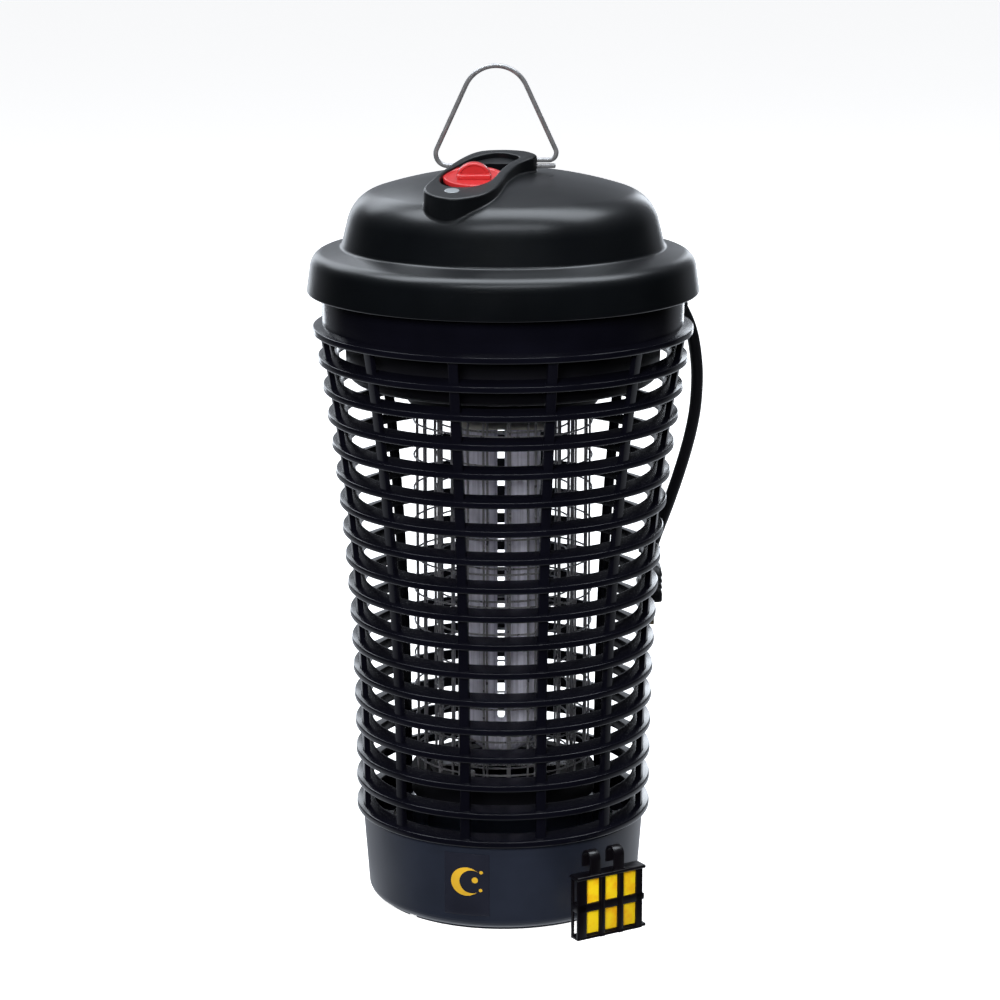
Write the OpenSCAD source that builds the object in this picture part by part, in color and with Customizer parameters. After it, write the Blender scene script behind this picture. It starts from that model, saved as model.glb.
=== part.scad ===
// Electric bug zapper: tapered ring cage, two-tier cap with a bail, U lamp inside two wire grids,
// a base cup, a short mains lead, and a loose lure holder that stands beside the base.
// Millimetres. Origin at the centre of the base's resting face, +Z up, -Y to the front.

/* [Cage] */
// Number of guard rings
ring_count = 18; // [17:1:18]
// Height from one guard ring to the next
ring_pitch = 17.6; // [17.4:0.1:17.8]
// Outer radius of the lowest guard ring
cage_r_low = 91.3; // [91:0.1:92]
// Extra radius of the topmost guard ring over the lowest
cage_flare = 23.9; // [23:0.1:24.5]
// Number of upright bars
bar_count = 12; // [12:1:12]
// Width of an upright bar
bar_w = 6; // [5:0.5:7]

/* [Base] */
// Height of the base cup
cup_h = 54.5; // [54:0.5:55]
// Outer radius of the cup at its mouth
cup_r_top = 87.4; // [87:0.1:88]
// Outer radius of the cup near its foot
cup_r_foot = 83.9; // [83.5:0.1:84.5]
// Wall thickness of the moulded housings
wall = 2.5; // [2:0.1:2.6]

/* [Cap] */
// Height of the crown above the resting face
crown_z = 453; // [452:0.5:454]
// Radius of the brim's lower lip
brim_r = 118.5; // [118:0.1:119]
// Height of the brim's lower lip
brim_z = 380; // [379.5:0.5:380.5]
// Slope of the knob housing's top face
housing_tilt = 11; // [10:0.5:12]

/* [Grids and lamp] */
// Radius of the outer grid's wire circle
outer_grid_r = 53; // [52:0.5:54]
// Radius of the inner grid's wire circle
inner_grid_r = 42; // [41:0.5:43]
// Wires in each grid
grid_wires = 21; // [18:1:24]
// Wire diameter of the grids
grid_wire_d = 1.4; // [1.2:0.1:1.6]
// Diameter of one leg of the U lamp
lamp_d = 22; // [21:0.5:22]
// Distance between the two legs' axes
lamp_pitch = 26.2; // [26:0.1:27]

/* [Cord] */
// Outer diameter of the mains lead
cord_d = 7.6; // [7:0.1:8]

/* [Hidden] */
$fn = 96;
foot_r = 78;
foot_h = 1.5;
floor_top = 4;
ring_top_z = 357.5;
ring_low_z = ring_top_z - ring_pitch * (ring_count - 1);
collar_r = 109.5;
collar_top = 386;
ledge_z = 382.5;
skirt_r = 83.6;
skirt_low = 44;
skirt_wall = 2.4;
base_screw_r = 75;
tray_screw_r = 103;
cap_screw_r = 112.4;
tray_r = 95;
tray_corner = 8;
tray_wall = 2.2;
tray_floor = 325.5;
tray_inside = tray_floor + tray_wall;
housing_front_y = -83.5;
housing_front_z = 446.9;
knob_at = [-17.1, 45];
knob_r = 18.3;
knob_top = -1.6;
sensor_at = [-29.5, 12.5];
bail_y = -2.8;
bail_z = 455.2;
wire_r = 1.45;
insulator_top = 80;
insulator_low = 66;
grid_top = 313;
relief_run = [17, 8.4, -16.6];
lamp_x = -1.2;
outer_grid_turn = 4.4;
inner_grid_turn = 4;
lure_at = [45, -99];
lure_turn = 31.4;
lure_w = 46.3;
lure_t = 8;
lure_h = 40;

// Knob housing outline, in the sloping top face: across, then back along the slope
HOUSING = [[-46, 17], [-42, 5], [-29, -2.5], [-14, 3.5], [-5.5, 15], [-1, 29], [3, 46], [10, 64],
           [19, 76], [19.5, 82], [12, 88.5], [-2, 90.5], [-15, 87], [-25, 74], [-35, 52], [-42, 33]];
// Opening in the housing's top face that shows the knob
RECESS = [[9.5, 75], [4, 81.5], [-5, 83.5], [-17, 75], [-26, 61], [-34, 47], [-37, 35], [-35, 24.5],
          [-28, 19.5], [-18, 20.5], [-9.5, 28], [-5, 38], [-1.5, 51], [4, 65]];
// Route of the mains lead's centre line, from the strain relief's tip to the plug
CORD = [[112, 63, 358], [116, 65.5, 349.5], [119, 67.5, 340], [121, 69, 329], [122.2, 70, 317],
        [122.2, 71, 304], [121.2, 71.5, 291], [119, 72, 278], [116, 72, 265.5], [112.6, 72, 253.5],
        [109, 72, 242], [105.3, 72, 231], [101.5, 72, 220.5], [97.8, 72, 210.5], [95.5, 72, 203]];

// ---------------------------------------------------------------- shared helpers

function ring_z(k) = ring_top_z - ring_pitch * k;
function cage_r(z) = cage_r_low
    + cage_flare * pow(max(0, (z - ring_low_z) / (ring_top_z - ring_low_z)), 2.3);
function cup_r(z) = cup_r_foot + (cup_r_top - cup_r_foot) * (z - foot_h - 6) / (cup_h - foot_h - 7);
function arc(c, r, from, to, n = 8) =
    [for (i = [0 : n]) let (a = from + (to - from) * i / n) [c[0] + r * cos(a), c[1] + r * sin(a)]];

// A point of the Catmull-Rom curve between b and c
function smooth_point(a, b, c, d, t) =
    0.5 * (2 * b + (c - a) * t + (2 * a - 5 * b + 4 * c - d) * t * t
    + (3 * b - a - 3 * c + d) * t * t * t);
function closed_curve(p, steps = 4) = let (n = len(p))
    [for (i = [0 : n - 1]) for (s = [0 : steps - 1])
        smooth_point(p[(i + n - 1) % n], p[i], p[(i + 1) % n], p[(i + 2) % n], s / steps)];
function open_curve(p, steps = 2) = let (n = len(p))
    [for (i = [0 : n - 2]) for (s = [0 : (i == n - 2 ? steps : steps - 1)])
        smooth_point(p[max(i - 1, 0)], p[i], p[i + 1], p[min(i + 2, n - 1)], s / steps)];

module ring_of(count, r, start = 0) {
    for (i = [0 : count - 1]) rotate(start + i * 360 / count) translate([r, 0, 0]) children();
}

module tube(r_out, r_in, low, high) {
    translate([0, 0, low]) difference() {
        cylinder(r = r_out, h = high - low);
        translate([0, 0, -1]) cylinder(r = r_in, h = high - low + 2);
    }
}

// A pan-head screw whose head sits on z = 0 and whose shank points up
module screw_up(shank_r, shank_l, head_r, head_h) {
    translate([0, 0, -head_h]) cylinder(r = head_r, h = head_h);
    translate([0, 0, -0.01]) cylinder(r = shank_r, h = shank_l + 0.01);
}

// Puts children in the knob housing's sloping frame
module on_housing() {
    translate([0, housing_front_y, housing_front_z]) rotate([housing_tilt, 0, 0]) children();
}

// ---------------------------------------------------------------- base

module base_cup() {
    lean = atan((cup_r_top - cup_r_foot) / cup_h);
    color("#252a35") difference() {
        union() {
            rotate_extrude() polygon(concat(
                [[0, 0], [foot_r, 0], [foot_r, foot_h]],
                arc([cup_r_foot - 6, foot_h + 6], 6, -90, -lean, 6),
                arc([cup_r_top - 1, cup_h - 1], 1, 0, 90, 3),
                [[cup_r_top - wall, cup_h]],
                arc([cup_r_foot - 6, foot_h + 6], 3.5, -lean, -90, 4),
                [[0, floor_top]]));
            for (a = [45 : 90 : 315]) rotate(a) translate([base_screw_r, 0, floor_top - 0.5])
                cylinder(r = 5, h = skirt_low - floor_top + 0.5);
        }
        ring_of(4, base_screw_r, 45) {
            translate([0, 0, -1]) cylinder(r = 2.2, h = 60);
            translate([0, 0, -1]) cylinder(r = 4.2, h = 29);
        }
    }
}

module base_screws() {
    color("#8c8f94") ring_of(4, base_screw_r, 45) translate([0, 0, 28]) screw_up(2, 23, 3.8, 2.6);
}

// A plain plate on the cup's front that follows its curve
module label_plate() {
    color("#3b4150") intersection() {
        rotate_extrude() polygon([
            [cup_r(10) + 0.03, 10], [cup_r(10) + 0.6, 10],
            [cup_r(51) + 0.6, 51], [cup_r(51) + 0.03, 51]]);
        translate([-35.2, -100, 10.5]) cube([27, 40, 40]);
    }
}

// ---------------------------------------------------------------- cage

module ring_section(z) {
    r = cage_r(z);
    polygon(concat([[r - 10.5, z - 2.3]], arc([r - 0.9, z - 1.4], 0.9, -90, 0, 3),
        arc([r - 0.9, z + 0.6], 0.9, 0, 80, 3), [[r - 10.5, z + 4.3]]));
}

module cage_bar() {
    levels = [for (k = [0 : ring_count - 1]) ring_z(k)];
    down = [for (z = levels) [cage_r(z) - 2.5, z]];
    up = [for (i = [ring_count - 1 : -1 : 0]) [cage_r(levels[i]) - 6, levels[i]]];
    foot = [[cage_r_low - 2.5, ring_low_z - 1], [skirt_r - 0.4, ring_low_z - 4],
            [skirt_r - 0.4, skirt_low + 1], [skirt_r - 2, skirt_low + 1],
            [skirt_r - 2.3, ring_low_z - 4]];
    rotate([90, 0, 0]) translate([0, 0, -bar_w / 2])
        linear_extrude(bar_w) polygon(concat(down, foot, up));
}

module guard_cage() {
    color("#1a1a24") difference() {
        union() {
            rotate_extrude() for (k = [0 : ring_count - 1]) ring_section(ring_z(k));
            rotate_extrude() polygon([
                [collar_r - wall, ring_top_z - 1.5], [collar_r - 0.4, ring_top_z - 1.5],
                [collar_r + 0.4, collar_top], [collar_r - wall, collar_top],
                [collar_r - wall, ledge_z], [collar_r - 6, ledge_z], [collar_r - 6, ledge_z - 2],
                [collar_r - wall, ledge_z - 5]]);
            tube(skirt_r, skirt_r - skirt_wall, skirt_low, ring_low_z);
            for (i = [0 : bar_count - 1]) rotate(15 + i * 360 / bar_count) cage_bar();
            ring_of(4, base_screw_r, 45) {
                translate([0, 0, skirt_low]) cylinder(r = 5, h = 10);
                translate([0, -2, skirt_low]) cube([skirt_r - base_screw_r - 1, 4, 10]);
            }
            for (a = [0, 180]) rotate(a)
                translate([66, -8, skirt_low]) cube([skirt_r - 66 - 1.3, 16, 2]);
            ring_of(4, tray_screw_r, 45) translate([0, 0, ledge_z - 12]) {
                cylinder(r = 4, h = 12);
                translate([0, -2.5, 0]) cube([collar_r - tray_screw_r - 1, 5, 12]);
            }
            ring_of(4, cap_screw_r, 0) translate([-4, -4, collar_top - 3]) cube([6.2, 8, 3]);
        }
        ring_of(4, base_screw_r, 45) translate([0, 0, skirt_low - 1]) cylinder(r = 2, h = 9);
        for (x = [-75, 75]) translate([x, 0, skirt_low - 1]) cylinder(r = 1.5, h = 6);
        ring_of(4, tray_screw_r, 45) translate([0, 0, ledge_z - 11]) cylinder(r = 1.5, h = 12);
        ring_of(4, cap_screw_r, 0) translate([0, 0, collar_top - 5]) cylinder(r = 1.7, h = 8);
        on_relief() translate([0, 0, -20]) cylinder(r = 5.5, h = 30);
    }
}

module support_strap() {
    top = insulator_low;
    low = skirt_low + 2;
    t = 1.5;
    color("#b9bcc2") difference() {
        rotate([90, 0, 0]) translate([0, 0, -6]) linear_extrude(12) polygon([
            [-80, low], [-68, low], [-49, top - t], [49, top - t], [68, low], [80, low],
            [80, low + t], [68.8, low + t], [49.8, top], [-49.8, top], [-68.8, low + t], [-80, low + t]]);
        for (x = [-75, 75]) translate([x, 0, 0]) cylinder(r = 1.7, h = 60);
        for (x = [-44, 44]) translate([x, 0, 0]) cylinder(r = 1.7, h = 80);
    }
}

module strap_screws() {
    color("#8c8f94") for (x = [-75, 75]) translate([x, 0, skirt_low + 3.5])
        mirror([0, 0, 1]) screw_up(1.5, 4.3, 3, 2);
}

module lower_insulator() {
    color("#15161a") difference() {
        union() {
            tube(57, 37, insulator_low, insulator_top - 4);
            tube(57, 49.5, insulator_low, insulator_top);
            tube(45.5, 37, insulator_low, insulator_top);
        }
        for (x = [-44, 44]) translate([x, 0, insulator_low - 1]) cylinder(r = 1.5, h = 9);
    }
}

module insulator_screws() {
    color("#8c8f94") for (x = [-44, 44]) translate([x, 0, insulator_low - 1.5])
        screw_up(1.5, 8, 3, 2);
}

// A sprung steel strip across the lower insulator that cradles the lamp's bend
module lamp_clip() {
    color("#c9ccd1") translate([0, 0, insulator_top]) difference() {
        union() {
            translate([-40.8, -4, 0]) cube([81.6, 8, 1]);
            for (s = [-1, 1]) translate([lamp_x + s * 17 - 0.6, -4, 0]) cube([1.2, 8, 6]);
        }
        for (x = [-38.6, 38.6]) translate([x, 0, -1]) cylinder(r = 1.2, h = 3);
    }
}

// Two curled spring terminals on the inner rim of the lower insulator
module grid_terminals() {
    color("#c9ccd1") for (a = [60, 240]) rotate(a) translate([38.9, 0, insulator_top])
        for (i = [0 : 2]) translate([0, 0, 1.1 + i * 2.3])
            rotate_extrude() translate([1.5, 0]) circle(r = 0.9, $fn = 24);
}

// ---------------------------------------------------------------- grids and lamp

module wire_circle(r, turn) {
    ring_of(grid_wires, r, turn - 90) translate([0, 0, insulator_top])
        cylinder(d = grid_wire_d, h = grid_top - insulator_top, $fn = 24);
}

module hoops(r) {
    for (i = [0 : 10]) translate([0, 0, 90 + 21 * i])
        rotate_extrude() translate([r, 0]) circle(r = 0.6, $fn = 20);
}

module outer_grid() {
    color("#a9adb3") wire_circle(outer_grid_r, outer_grid_turn);
}

module outer_grid_hoops() {
    color("#a9adb3") hoops(outer_grid_r + grid_wire_d / 2 + 0.65);
}

module inner_grid() {
    color("#a9adb3") wire_circle(inner_grid_r, inner_grid_turn);
}

module inner_grid_hoops() {
    color("#a9adb3") hoops(inner_grid_r - grid_wire_d / 2 - 0.65);
}

module upper_insulator() {
    color("#15161a") difference() {
        union() {
            tube(58, 37, grid_top + 4, tray_floor);
            tube(58, 49.5, grid_top, tray_floor);
            tube(45.5, 37, grid_top, tray_floor);
        }
    }
}

// Two straight legs joined by a half-round bend at the foot
module lamp_tube() {
    bend_z = 88 + lamp_pitch / 2 + lamp_d / 2;
    color("#c9c6d6") translate([lamp_x, 0, 0]) {
        for (s = [-1, 1]) translate([s * lamp_pitch / 2, 0, bend_z])
            cylinder(d = lamp_d, h = 296 - bend_z);
        translate([0, 0, bend_z]) rotate([90, 0, 0]) rotate([0, 0, 180])
            rotate_extrude(angle = 180) translate([lamp_pitch / 2, 0]) circle(d = lamp_d);
    }
}

module lamp_base() {
    color("#d8d9dc") translate([lamp_x - 27, -13, 296]) cube([54, 26, 18]);
}

module lamp_pins() {
    color("#c8a04a") for (x = [-13.5, -4.5, 4.5, 13.5]) translate([lamp_x + x, 0, 314])
        cylinder(r = 1.2, h = 7, $fn = 32);
}

module lamp_socket() {
    color("#e4e4e0") translate([lamp_x, 0, 0]) difference() {
        union() {
            translate([-29, -15, 314]) cube([58, 30, tray_floor - 314]);
            translate([-24, -12, tray_floor]) cube([48, 24, 14]);
        }
        for (x = [-13.5, -4.5, 4.5, 13.5]) translate([x, 0, 313]) cylinder(r = 1.2, h = 10, $fn = 32);
    }
}

// ---------------------------------------------------------------- electronics

module electronics_tray() {
    color("#121318") difference() {
        rotate_extrude() polygon(concat(
            [[0, tray_floor]],
            arc([tray_r - tray_corner, tray_floor + tray_corner], tray_corner, -90, 0, 6),
            [[tray_r + 2, ledge_z], [collar_r - wall - 0.5, ledge_z],
             [collar_r - wall - 0.5, ledge_z + 2.5], [tray_r + 2 - tray_wall, ledge_z + 2.5]],
            arc([tray_r - tray_corner, tray_floor + tray_corner], tray_corner - tray_wall, 0, -90, 6),
            [[0, tray_floor + tray_wall]]));
        translate([lamp_x - 24, -12, tray_floor - 1]) cube([48, 24, 6]);
        ring_of(4, tray_screw_r, 45) translate([0, 0, ledge_z - 1]) cylinder(r = 1.7, h = 6);
    }
}

module tray_screws() {
    color("#8c8f94") ring_of(4, tray_screw_r, 45) translate([0, 0, ledge_z + 2.5])
        mirror([0, 0, 1]) screw_up(1.5, 10, 3, 2);
}

// Laminated frame with two windows that hold the winding
module transformer_core() {
    color("#6b6e75") translate([-72, 14, tray_inside]) difference() {
        union() {
            cube([57, 30, 48]);
            translate([-8, 4, 0]) cube([73, 22, 2]);
        }
        for (x = [9.5, 38]) translate([x, -1, 9.5]) cube([9.5, 32, 29]);
        for (x = [-4, 61]) translate([x, 15, -1]) cylinder(r = 1.7, h = 5);
    }
}

module transformer_coil() {
    color("#b8722e") translate([-72, 14, tray_inside]) difference() {
        translate([9.7, -8, 9.8]) cube([37.6, 46, 28.4]);
        translate([18.9, -1, 9]) cube([19.2, 32, 31]);
    }
}

module transformer_screws() {
    color("#8c8f94") for (x = [-76, -11]) translate([x, 29, tray_inside + 2])
        mirror([0, 0, 1]) screw_up(1.5, 2, 3, 2);
}

module lamp_ballast() {
    color("#23262b") translate([12, 22, tray_inside]) difference() {
        cube([54, 32, 30]);
        for (x = [6, 48]) translate([x, 17, 26]) cylinder(r = 2, h = 6);
    }
}

module board_standoffs() {
    color("#d8d2b8") for (x = [-38, 38]) for (y = [-66, -30]) translate([x, y, tray_inside])
        cylinder(r = 3, h = 6);
}

module circuit_board() {
    color("#2c6b3c") translate([-42, -70, tray_inside + 6]) difference() {
        cube([84, 44, 1.6]);
        for (x = [4, 80]) for (y = [4, 40]) translate([x, y, -1]) cylinder(r = 1.4, h = 4);
    }
}

module capacitors() {
    top = tray_inside + 7.6;
    color("#2f4f9a") for (x = [-24, -4, 16]) translate([x, -54, top]) {
        cylinder(r = 6.5, h = 18);
    }
}

module fuse() {
    top = tray_inside + 7.6;
    color("#d9dde2") translate([-12, -36, top + 3]) rotate([0, 90, 0]) cylinder(r = 2.6, h = 20);
}

module terminal_block() {
    color("#dcd9cf") translate([-16, 58, tray_inside]) difference() {
        cube([32, 14, 12]);
        for (x = [6, 16, 26]) translate([x, 7, 4]) cylinder(r = 2.2, h = 9);
    }
}

// ---------------------------------------------------------------- cap

crown_r = 250;
shoulder_r = 25;
shoulder_x = 69.2;
side_lean = 14;
shoulder = [shoulder_x, crown_z - crown_r + sqrt(pow(crown_r - shoulder_r, 2) - pow(shoulder_x, 2))];
crown_from = atan2(shoulder[1] - crown_z + crown_r, shoulder_x);
brim_curve = [107.3, 395.4];

// Half section of the cap's skin, taken in by t from the outer face
function cap_line(t) = concat(
    arc(brim_curve, 9 - t, 8, 80, 6),
    [[97.4 - 0.9 * t, 407.3 - t]],
    arc(shoulder, shoulder_r - t, side_lean, crown_from, 8),
    arc([0, crown_z - crown_r], crown_r - t, crown_from, 90, 6));
function backwards(p) = [for (i = [len(p) - 1 : -1 : 0]) p[i]];

module cap_skin() {
    rotate_extrude() polygon(concat(
        [[brim_r - wall - 0.2, brim_z], [brim_r - 1, brim_z], [brim_r, brim_z + 1]],
        cap_line(0), backwards(cap_line(wall)), [[brim_r - wall - 0.2, brim_z + 1]]));
}

module top_cap() {
    color("#111215") difference() {
        union() {
            cap_skin();
            on_housing() translate([0, 0, -18]) linear_extrude(18) polygon(closed_curve(HOUSING));
            ring_of(4, cap_screw_r, 0) translate([0, 0, collar_top]) cylinder(r = 3.1, h = 14);
        }
        on_housing() {
            translate([0, 0, -3]) linear_extrude(4) polygon(closed_curve(RECESS));
            intersection() {
                translate([0, 0, -11]) linear_extrude(10) polygon(closed_curve(RECESS));
                translate([-50, 0, -12]) cube([60, 72, 20]);
            }
            translate([knob_at[0], knob_at[1], -11]) cylinder(r = knob_r + 0.5, h = 9.7);
            translate([knob_at[0], knob_at[1], -19]) cylinder(r = 14, h = 6);
            translate([knob_at[0], knob_at[1], -14]) cylinder(r = 4.6, h = 6);
            translate([sensor_at[0], sensor_at[1], -3]) cylinder(r = 4.5, h = 4);
            translate([sensor_at[0], sensor_at[1], -19]) cylinder(r = 3, h = 17);
        }
        translate([-60, bail_y, bail_z]) rotate([0, 90, 0]) cylinder(r = wire_r + 0.08, h = 120);
        translate([10.5, bail_y, bail_z]) rotate([0, 90, 0]) cylinder(r = 4.9, h = 12);
        ring_of(4, cap_screw_r, 0) translate([0, 0, collar_top - 1]) cylinder(r = 1.5, h = 12);
    }
}

module cap_screws() {
    color("#8c8f94") ring_of(4, cap_screw_r, 0) translate([0, 0, collar_top - 3])
        screw_up(1.5, 13, 2.3, 2);
}

module sensor_lens() {
    color("#d5d8db") on_housing() translate([sensor_at[0], sensor_at[1], -3])
        cylinder(r = 4.5, h = 3.3);
}

module light_sensor() {
    color("#7c2f2f") on_housing() translate([sensor_at[0], sensor_at[1], -8])
        cylinder(r = 2.5, h = 5);
}

module rotary_switch() {
    color("#1c1d20") on_housing() translate([knob_at[0], knob_at[1], 0]) difference() {
        union() {
            translate([0, 0, -33]) cylinder(r = 12, h = 20);
            translate([0, 0, -13.5]) cylinder(r = 4.5, h = 4.7);
        }
        translate([0, 0, -28]) cylinder(r = 3.05, h = 30);
    }
}

module switch_nut() {
    color("#c9ccd1") on_housing() translate([knob_at[0], knob_at[1], -11]) difference() {
        cylinder(r = 7, h = 2, $fn = 6);
        translate([0, 0, -1]) cylinder(r = 4.5, h = 4);
    }
}

module switch_spindle() {
    color("#c9ccd1") on_housing() translate([knob_at[0], knob_at[1], -27]) cylinder(r = 3, h = 24);
}

module power_knob() {
    color("#e8261f") on_housing() translate([knob_at[0], knob_at[1], 0]) difference() {
        union() {
            translate([0, 0, knob_top - 3]) cylinder(r = knob_r, h = 3);
            translate([0, 0, -8.2]) cylinder(r = 6, h = 5);
            intersection() {
                translate([0, 3, knob_top - 2.6]) rotate([90, 0, 0]) cylinder(r = 10.6, h = 6);
                translate([-20, -20, knob_top - 1]) cube([40, 40, 20]);
            }
            translate([-10, -6.6, knob_top - 1]) cube([20, 4.6, 3.2]);
        }
        translate([0, 0, -27]) cylinder(r = 3, h = 24);
    }
}

// A straight run of the bail's wire, l long, from point a of its plane at an angle above +X
module bail_run(a, angle, l) {
    translate([a[0], 0, a[1]]) rotate([0, 90 - angle, 0]) translate([0, 0, -0.3])
        cylinder(r = wire_r - 0.02, h = l + 0.6);
}

module bail_bend(c, r, from, sweep) {
    translate([c[0], 0, c[1]]) rotate([90, 0, 0]) rotate([0, 0, from])
        rotate_extrude(angle = sweep) translate([r, 0]) circle(r = wire_r);
}

// Wire loop: two leaning legs under a round top; the left end is the pivot through the housing
module bail() {
    lean = 24.8;
    top_r = 19.7;
    left_r = 7.2;
    right_r = 4.5;
    left_leg = 41.7;
    right_leg = 42.2;
    out_l = [-cos(lean), sin(lean)];
    out_r = [cos(lean), sin(lean)];
    up_l = [sin(lean), cos(lean)];
    up_r = [-sin(lean), cos(lean)];
    left = [-33, left_r];
    top = left + (left_r - top_r) * out_l + left_leg * up_l;
    right = top + (top_r - right_r) * out_r - right_leg * up_r;
    color("#8f8b86") translate([0, bail_y, bail_z]) {
        bail_run(left - [0, left_r], 0, 31.5 - left[0]);
        bail_bend(left, left_r, 180 - lean, 90 + lean);
        bail_run(left + left_r * out_l, 90 - lean, left_leg);
        bail_bend(top, top_r, lean, 180 - 2 * lean);
        bail_run(top + top_r * out_r, lean - 90, right_leg);
        bail_bend(right, right_r, -90, 90 + lean);
        bail_run(right - [0, right_r], 180, right[0] - 13);
    }
}

// ---------------------------------------------------------------- mains lead

// Puts children at the strain relief's root on the collar, with Z along the relief
module on_relief() {
    translate(CORD[0] - relief_run) rotate([0, 0, atan2(relief_run[1], relief_run[0])])
        rotate([0, acos(relief_run[2] / norm(relief_run)), 0]) children();
}

module strain_relief() {
    flange = 7.2;
    tip = norm(relief_run);
    color("#0e0f12") on_relief() rotate_extrude() polygon([
        [0, -5], [5.4, -5], [5.4, flange], [7, flange], [7, flange + 2.4], [6, flange + 2.4],
        [5, tip], [0, tip]]);
}

// Ring of points around one point of the route, square to the way the route runs there
function around(p, i, r, sides) =
    let (way = p[min(i + 1, len(p) - 1)] - p[max(i - 1, 0)],
         t = way / norm(way), u = cross(t, [0, 1, 0]) / norm(cross(t, [0, 1, 0])), v = cross(t, u))
    [for (s = [0 : sides - 1]) p[i] + r * (u * cos(s * 360 / sides) + v * sin(s * 360 / sides))];

module cord() {
    sides = 10;
    route = open_curve(CORD, 1);
    n = len(route);
    rings = [for (i = [0 : n - 1]) each around(route, i, cord_d / 2, sides)];
    walls = [for (i = [0 : n - 2]) for (s = [0 : sides - 1]) let (q = (s + 1) % sides)
        [i * sides + s, i * sides + q, (i + 1) * sides + q, (i + 1) * sides + s]];
    ends = [[for (s = [sides - 1 : -1 : 0]) s], [for (s = [0 : sides - 1]) (n - 1) * sides + s]];
    color("#0e0f12") polyhedron(points = rings, faces = concat(walls, ends));
}

module plug_body() {
    color("#0e0f12") translate([93.5, 72, 0]) {
        translate([0, 0, 199]) cylinder(r = 7, h = 3.5);
        translate([0, 0, 191]) cylinder(r = 5.5, h = 8.5);
        translate([-8, -13, 168.5]) cube([16, 26, 23]);
    }
}

module plug_blades() {
    color("#a58a5a") for (s = [-1, 1]) translate([93.5 - 3.1, 72 + s * 6.35 - 0.75, 152.5])
        cube([6.3, 1.5, 16]);
}

// ---------------------------------------------------------------- lure

module in_lure() {
    translate([lure_at[0], lure_at[1], 0]) rotate(lure_turn) children();
}

module lure_hook(x) {
    t = 1.8;
    gap = 7;
    translate([x, 0, 0]) rotate([90, 0, 90]) linear_extrude(7) polygon(concat(
        [[0, lure_h - 1], [t, lure_h - 1]],
        arc([t + gap / 2, lure_h + 9], gap / 2, 180, 0, 8),
        [[t + gap, lure_h + 3], [2 * t + gap, lure_h + 3]],
        arc([t + gap / 2, lure_h + 9], gap / 2 + t, 0, 180, 8)));
}

module lure_frame() {
    bay = 15.6;
    color("#0c0c0f") in_lure() difference() {
        union() {
            cube([lure_w, lure_t, lure_h]);
            translate([-0.8, -0.8, lure_h - 2]) cube([lure_w + 2.8, lure_t + 1.6, 2]);
            translate([lure_w - 1, 2, 17]) cube([4, 4, 4]);
            translate([lure_w - 1, 1, 0]) cube([4.5, 6, 2]);
            for (x = [9, 26]) lure_hook(x);
        }
        translate([1.5, 1.5, 2.5]) cube([lure_w - 3, lure_t - 3, lure_h - 4.7]);
        for (z = [1.8, 22.4]) {
            for (x = [6.4, 19.6, 32.8]) translate([x, -1, z]) cube([9, lure_t + 2, bay]);
            translate([-1, 1.8, z]) cube([3, 4.4, bay]);
            translate([1.6, lure_t - 2, z]) cube([3, 3, bay]);
        }
    }
}

module lure_tablet() {
    color("#f2c81e") in_lure() translate([5.6, 1.7, 2.7]) cube([lure_w - 7.4, lure_t - 3.4, lure_h - 5.2]);
}

// ---------------------------------------------------------------- what is drawn

base_cup();
base_screws();
label_plate();
guard_cage();
support_strap();
strap_screws();
lower_insulator();
insulator_screws();
lamp_clip();
grid_terminals();
outer_grid();
outer_grid_hoops();
inner_grid();
inner_grid_hoops();
upper_insulator();
lamp_tube();
lamp_base();
lamp_pins();
lamp_socket();
electronics_tray();
tray_screws();
transformer_core();
transformer_coil();
transformer_screws();
lamp_ballast();
board_standoffs();
circuit_board();
capacitors();
fuse();
terminal_block();
top_cap();
cap_screws();
sensor_lens();
light_sensor();
rotary_switch();
switch_nut();
switch_spindle();
power_knob();
bail();
strain_relief();
cord();
plug_body();
plug_blades();
lure_frame();
lure_tablet();
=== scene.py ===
"""Looks of the electric bug zapper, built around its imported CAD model. Metres, in the model's own frame."""

import math
import random

import bmesh
import bpy
from mathutils import Matrix, Vector


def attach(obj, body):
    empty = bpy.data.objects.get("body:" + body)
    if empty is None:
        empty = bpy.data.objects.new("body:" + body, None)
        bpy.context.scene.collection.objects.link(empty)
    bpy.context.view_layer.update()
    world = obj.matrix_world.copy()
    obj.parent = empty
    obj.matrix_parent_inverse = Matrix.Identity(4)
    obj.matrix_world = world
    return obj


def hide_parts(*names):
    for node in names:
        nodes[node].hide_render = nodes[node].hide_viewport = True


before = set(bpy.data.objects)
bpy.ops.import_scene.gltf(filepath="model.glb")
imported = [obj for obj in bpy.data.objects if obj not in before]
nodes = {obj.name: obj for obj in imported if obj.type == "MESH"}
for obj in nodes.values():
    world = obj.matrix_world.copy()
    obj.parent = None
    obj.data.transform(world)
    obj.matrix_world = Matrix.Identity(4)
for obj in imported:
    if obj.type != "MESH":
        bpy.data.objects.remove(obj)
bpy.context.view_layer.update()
MM = 0.001
random.seed(5)

# ---------------------------------------------------------------- camera

CAMERA_PLACE = (0, -1.904, 0.690)
CAMERA_DIP = math.radians(13.03)
CAMERA_LENS = 114.7
AXIS_SHIFT = -0.003


def make_camera():
    data = bpy.data.cameras.new("camera")
    data.lens = CAMERA_LENS
    data.sensor_width = 36
    data.shift_x = AXIS_SHIFT
    data.clip_end = 60
    camera = bpy.data.objects.new("camera", data)
    camera.location = CAMERA_PLACE
    camera.rotation_euler = (math.pi / 2 - CAMERA_DIP, 0, 0)
    bpy.context.scene.collection.objects.link(camera)
    bpy.context.scene.camera = camera


make_camera()

# ---------------------------------------------------------------- materials

NOISE_LOW, NOISE_HIGH = 0.3, 0.7


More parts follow.
